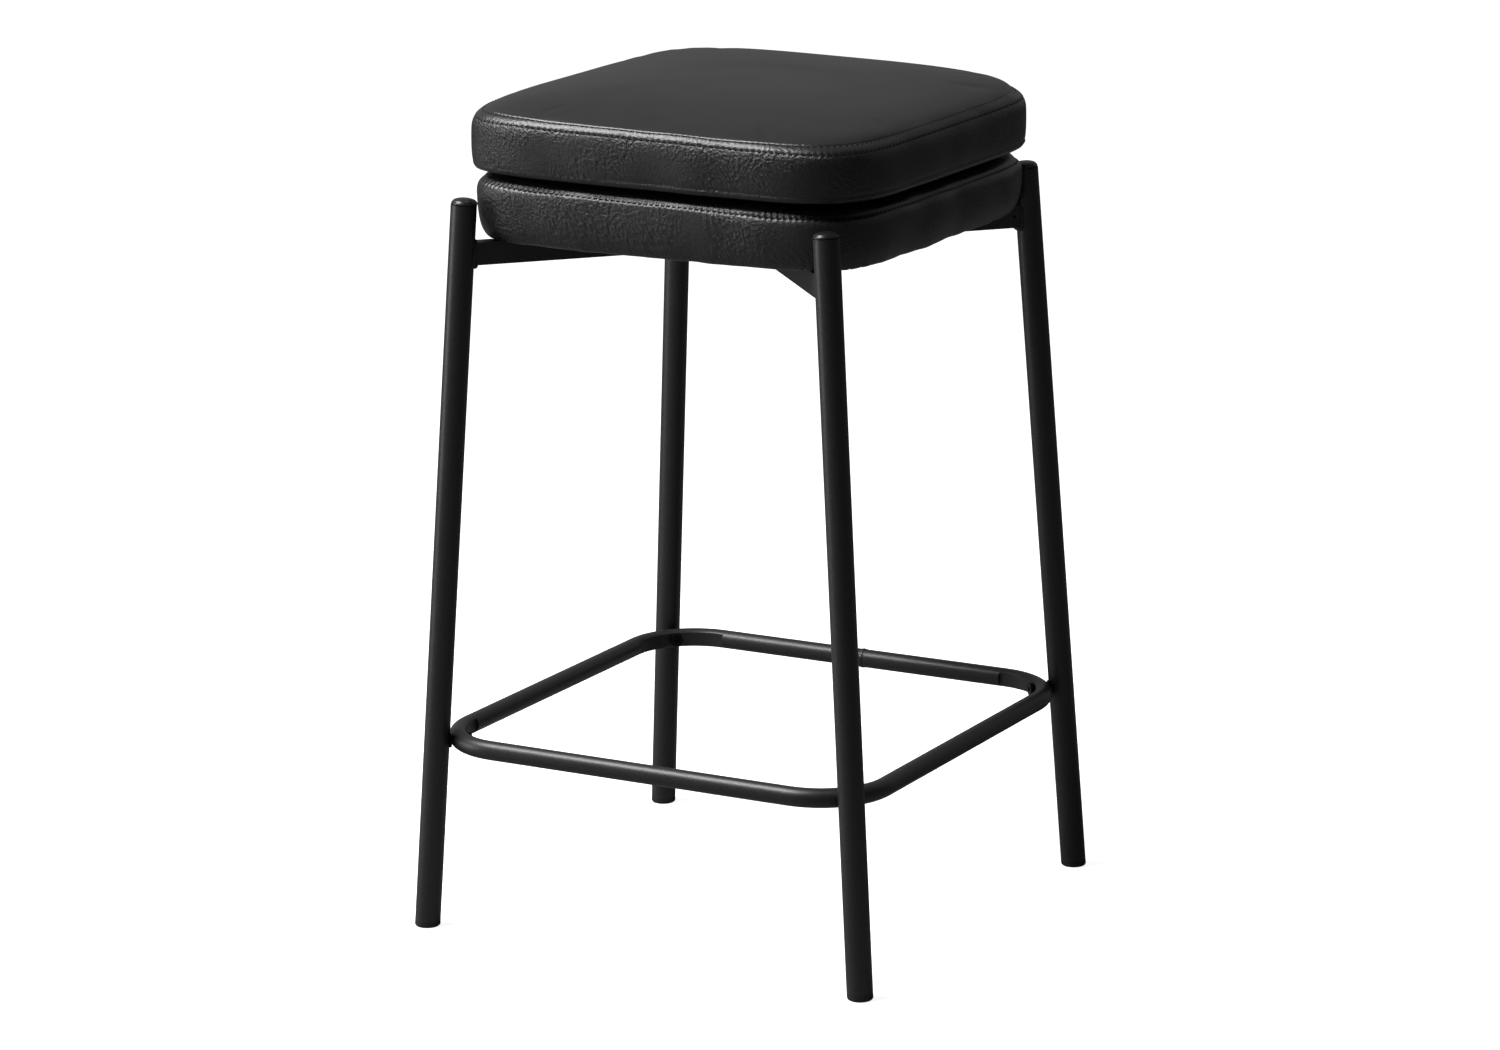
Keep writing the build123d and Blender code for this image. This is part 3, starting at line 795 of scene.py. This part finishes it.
def make_cap(place):
    """A leg's end cap: a profile of radius against height, turned round the leg's axis.

    From the plug in the tube: a narrow groove at the tube's end, a rim rounded on both edges,
    and a shallow dome."""
    foot, along = leg_axis(place)
    tube_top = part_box("leg_" + place)[1].z
    tilt = math.sqrt(1 - along[2] ** 2)
    end = (tube_top - TUBE_RADIUS * tilt) / along[2]
    rim, groove, dome = 1.6 * MM, 0.45 * MM, 3.6 * MM
    low_edge, high_edge, flatness = 0.35 * MM, 0.7 * MM, 0.8
    plug_radius, groove_radius, tip_radius = 8.3 * MM, 9.55 * MM, 0.02 * MM
    plug_depth, groove_depth = 12 * MM, 0.2 * MM
    edge = np.linspace(0, np.pi / 2, 5)
    arc = np.linspace(0, np.pi / 2, 14)[1:]
    dome_start = rim + high_edge * flatness
    radius = np.concatenate(
        [
            [plug_radius, plug_radius, groove_radius, groove_radius],
            TUBE_RADIUS - low_edge * (1 - np.sin(edge)),
            TUBE_RADIUS - high_edge * (1 - np.cos(edge)),
            (TUBE_RADIUS - high_edge) * np.cos(arc),
        ]
    )
    radius = np.maximum(radius, tip_radius)
    height = np.concatenate(
        [
            [-plug_depth, -groove_depth, -groove_depth, groove],
            groove + low_edge * (1 - np.cos(edge)),
            rim + high_edge * np.sin(edge) * flatness,
            dome_start + (rim + dome - dome_start) * np.sin(arc),
        ]
    )
    turn = np.linspace(0, 2 * np.pi, 48, endpoint=False)
    first, second = cross_frame(along)
    spoke = first[None] * np.cos(turn)[:, None] + second[None] * np.sin(turn)[:, None]
    rings = foot + along * (end + height)[:, None, None] + spoke[None] * radius[:, None, None]
    points, faces = closed_grid(rings)
    piece = new_piece("cap_" + place, points, faces, cap_plastic)
    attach(piece, "root")
    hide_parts("leg_cap_" + place)


bar_low, bar_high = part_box("crossbar_long")
BAR_WIDTH = 12 * MM
bar_height = bar_high.z - bar_low.z
UP = np.array([0.0, 0.0, 1.0])
BEAD_STANDOFF = 0.4 * MM
BEAD_POINTS = 120
BEAD_SIDES = 12
BEAD_SQUARENESS = 0.35


def make_weld(place, seed):
    """The bead where a crossbar meets its leg.

    The bar's outline, a rounded rectangle, is carried along the bar to the leg's round side;
    the bead is a tube along that closed line, with ripples, thicker under the bar."""
    foot, along = leg_axis(place)
    middle = bar_low.z + bar_height / 2
    leg = foot + along * (middle - foot[2]) / along[2]
    heading = unit(leg * [1, 1, 0])
    across = np.cross(UP, heading)
    turn = np.linspace(0, 2 * np.pi, BEAD_POINTS, endpoint=False)
    wide = np.sign(np.cos(turn)) * np.abs(np.cos(turn)) ** BEAD_SQUARENESS
    tall = np.sign(np.sin(turn)) * np.abs(np.sin(turn)) ** BEAD_SQUARENESS
    wide = wide * (BAR_WIDTH / 2 + BEAD_STANDOFF)
    tall = tall * (bar_height / 2 + BEAD_STANDOFF)
    rays = leg + across * wide[:, None] + UP * tall[:, None]
    # where each line along the bar meets the leg's cylinder, on the side of the seat's centre
    off = rays - foot
    ray_flat = heading - along * (heading @ along)
    off_flat = off - along * (off @ along)[:, None]
    a = ray_flat @ ray_flat
    b = off_flat @ ray_flat
    c = (off_flat**2).sum(1) - TUBE_RADIUS**2
    reach = (-b - np.sqrt(np.maximum(b * b - a * c, 0))) / a
    line = rays + heading * reach[:, None]
    outward = unit(across * wide[:, None] + UP * tall[:, None])
    steps = np.arange(BEAD_POINTS) * 0.5 * MM
    ripple = 0.12 * waves(steps, 0 * steps, (1.6 * MM, 4 * MM), 0, 0, seed)
    under = smoothstep(0.2, -0.9, np.sin(turn))
    thick = (1.3 + 1.3 * under + ripple) * MM
    spin = np.linspace(0, 2 * np.pi, BEAD_SIDES, endpoint=False)
    spoke = outward[:, None] * np.cos(spin)[:, None] - heading[None, None] * np.sin(spin)[:, None]
    points = (line[:, None] + spoke * thick[:, None, None]).reshape(-1, 3)
    faces = grid_faces(BEAD_POINTS, BEAD_SIDES, closed_rows=True)
    piece = new_piece("weld_" + place, points, faces, powder_coat)
    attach(piece, "root")


for number, place in enumerate(leg_places):
    make_cap(place)
    make_weld(place, 60 + number)

ring_low, ring_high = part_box("footrest_ring")
RING_RADIUS = (ring_high.z - ring_low.z) / 2


def make_ring_weld():
    """The butt weld that closes the footrest tube: a low lumpy band round the back bar, whose
    height over the tube is a half ellipse across it, less 0.1 mm so that its edges sink in."""
    spin = np.linspace(0, 2 * np.pi, 60, endpoint=False)
    across = np.linspace(-1, 1, 9)
    round_tube, along_tube = spin[None, :] * RING_RADIUS, across[:, None] * MM
    lump = 0.12 * waves(round_tube, along_tube, (2 * MM, 6 * MM), 0, 60, 71)
    height = (0.55 + lump) * np.sqrt(np.maximum(1 - across[:, None] ** 2, 0)) - 0.1
    radius = RING_RADIUS + height * MM
    x = 1.5 * MM + across[:, None] * 2.2 * MM + 0 * radius
    middle_y = ring_high.y - RING_RADIUS
    middle_z = ring_low.z + RING_RADIUS
    y, z = middle_y + radius * np.cos(spin), middle_z + radius * np.sin(spin)
    rings = np.stack([x, y, z], axis=-1)
    points, faces = closed_grid(rings)
    piece = new_piece("footrest_butt_weld", points, faces, powder_coat)
    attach(piece, "root")


make_ring_weld()


# ---- floor, light and camera ---------------------------------------------------------------
def make_floor():
    """A wide pale floor.  Seen straight on it is near white; it lights the stool more weakly."""
    mesh = bpy.data.meshes.new("floor")
    size = 20.0
    corners = [(-size, -size, 0), (size, -size, 0), (size, size, 0), (-size, size, 0)]
    mesh.from_pydata(corners, [], [(0, 1, 2, 3)])
    floor = bpy.data.objects.new("floor", mesh)
    bpy.context.scene.collection.objects.link(floor)
    material = bpy.data.materials.new("pale_floor")
    material.use_nodes = True
    tree = material.node_tree
    tree.nodes.clear()
    seen = add(tree, "ShaderNodeLightPath").outputs["Is Camera Ray"]
    pale = add(tree, "ShaderNodeBsdfDiffuse", {"Color": (0.9, 0.9, 0.9, 1)})
    glow = add(tree, "ShaderNodeEmission", {"Color": (1, 1, 1, 1), "Strength": 0.86})
    bright = add(tree, "ShaderNodeAddShader", {0: pale.outputs[0], 1: glow.outputs[0]})
    dim = add(tree, "ShaderNodeBsdfDiffuse", {"Color": (0.23, 0.23, 0.23, 1)})
    both = add(tree, "ShaderNodeMixShader", {0: seen, 1: dim.outputs[0], 2: bright.outputs[0]})
    add(tree, "ShaderNodeOutputMaterial", {"Surface": both.outputs[0]})
    mesh.materials.append(material)


def make_light(name, direction, distance, width, height, power):
    """A white soft box aimed at the middle of the stool."""
    light = bpy.data.lights.new(name, "AREA")
    light.shape = "RECTANGLE"
    light.size = width
    light.size_y = height
    light.energy = power
    lamp = bpy.data.objects.new(name, light)
    aim = Vector((0, 0, 0.4))
    place = aim + Vector(direction).normalized() * distance
    turn = (place - aim).to_track_quat("Z", "Y").to_matrix().to_4x4()
    lamp.matrix_world = Matrix.Translation(place) @ turn
    lamp.visible_camera = False
    bpy.context.scene.collection.objects.link(lamp)


def make_world():
    """White behind the stool, and a dim grey room, paler at the back left, for what it reflects."""
    world = bpy.data.worlds.new("studio")
    bpy.context.scene.world = world
    world.use_nodes = True
    tree = world.node_tree
    tree.nodes.clear()
    seen = add(tree, "ShaderNodeLightPath").outputs["Is Camera Ray"]
    aim = add(tree, "ShaderNodeTexCoord").outputs["Generated"]
    wall = add(
        tree, "ShaderNodeVectorMath", {0: aim, 1: (-0.45, 0.84, 0.28)}, operation="DOT_PRODUCT"
    ).outputs["Value"]
    level = remap(tree, wall, -0.1, 0.9, 0.08, 0.23, interpolation_type="SMOOTHSTEP")
    room = add(tree, "ShaderNodeBackground", {"Color": (1, 1, 1, 1), "Strength": level})
    white = add(tree, "ShaderNodeBackground", {"Color": (1, 1, 1, 1), "Strength": 1.0})
    both = add(tree, "ShaderNodeMixShader", {0: seen, 1: room.outputs[0], 2: white.outputs[0]})
    add(tree, "ShaderNodeOutputWorld", {"Surface": both.outputs[0]})


def make_camera():
    """A long lens, a little above the seat and to the right of the front."""
    yaw, pitch, roll = 0.5064, 0.2443, -0.0095
    distance, aside, aim_height = 4.04737, -0.001904, 0.30167
    level = math.cos(pitch)
    back = Vector((math.sin(yaw) * level, -math.cos(yaw) * level, math.sin(pitch)))
    right = Vector((math.cos(yaw), math.sin(yaw), 0))
    up = back.cross(right)
    turned_right = right * math.cos(roll) + up * math.sin(roll)
    turned_up = up * math.cos(roll) - right * math.sin(roll)
    place = Vector((0, 0, aim_height)) + back * distance + right * aside
    lens = bpy.data.cameras.new("camera")
    lens.sensor_width = 36.0
    lens.lens = 124.69
    lens.clip_end = 100.0
    camera = bpy.data.objects.new("camera", lens)
    turn = Matrix((turned_right, turned_up, back)).transposed()
    camera.matrix_world = Matrix.Translation(place) @ turn.to_4x4()
    bpy.context.scene.collection.objects.link(camera)
    bpy.context.scene.camera = camera


make_floor()
make_world()
make_light("key_softbox", (-0.47, -0.34, 0.81), 2.2, 1.2, 0.9, 78)
make_light("left_softbox", (-0.85, -0.47, 0.05), 2.6, 0.8, 1.6, 20)
make_camera()
bpy.context.scene.view_settings.view_transform = "Standard"
